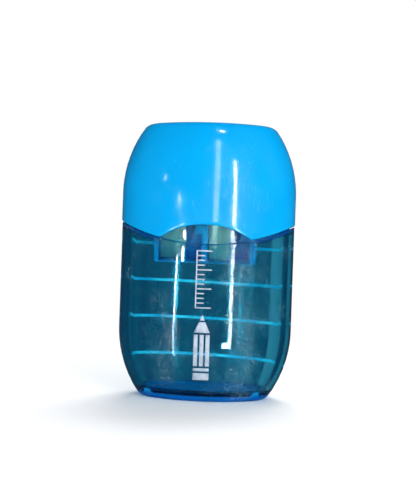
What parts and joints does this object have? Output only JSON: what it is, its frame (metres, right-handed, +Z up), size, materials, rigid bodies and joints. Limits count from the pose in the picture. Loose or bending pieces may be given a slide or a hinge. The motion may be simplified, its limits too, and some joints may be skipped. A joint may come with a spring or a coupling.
{
  "type": "pencil sharpener",
  "caption": "Pencil sharpener with a small and a jumbo hole in a blue head that caps a clear blue oval shavings container.",
  "frame": {"origin": "middle of the flat base that it stands on", "axes": "+Z up out of the pencil holes, +X to the right seen from the front, the front with the thumb notch faces -Y"},
  "size_m": [0.0432, 0.0244, 0.0672],
  "materials": {
    "head_blue": "glossy opaque",
    "block_blue": "satin moulded",
    "clear_blue": "clear tinted, worn gloss",
    "blade_steel": "ground",
    "screw_steel": "zinc plated"
  },
  "bodies": {
    "container_body": {"container": "clear_blue"},
    "head": {"head_cover": "head_blue", "sharpener_block": "block_blue", "blade_small": "blade_steel", "blade_large": "blade_steel", "screw_small": "screw_steel", "screw_large": "screw_steel"}
  },
  "joints": [
    {"name": "head_pull", "type": "slide", "parent": "container_body", "child": "head", "axis": [0, 0, 1], "range_m": [0, 0.04]}
  ]
}
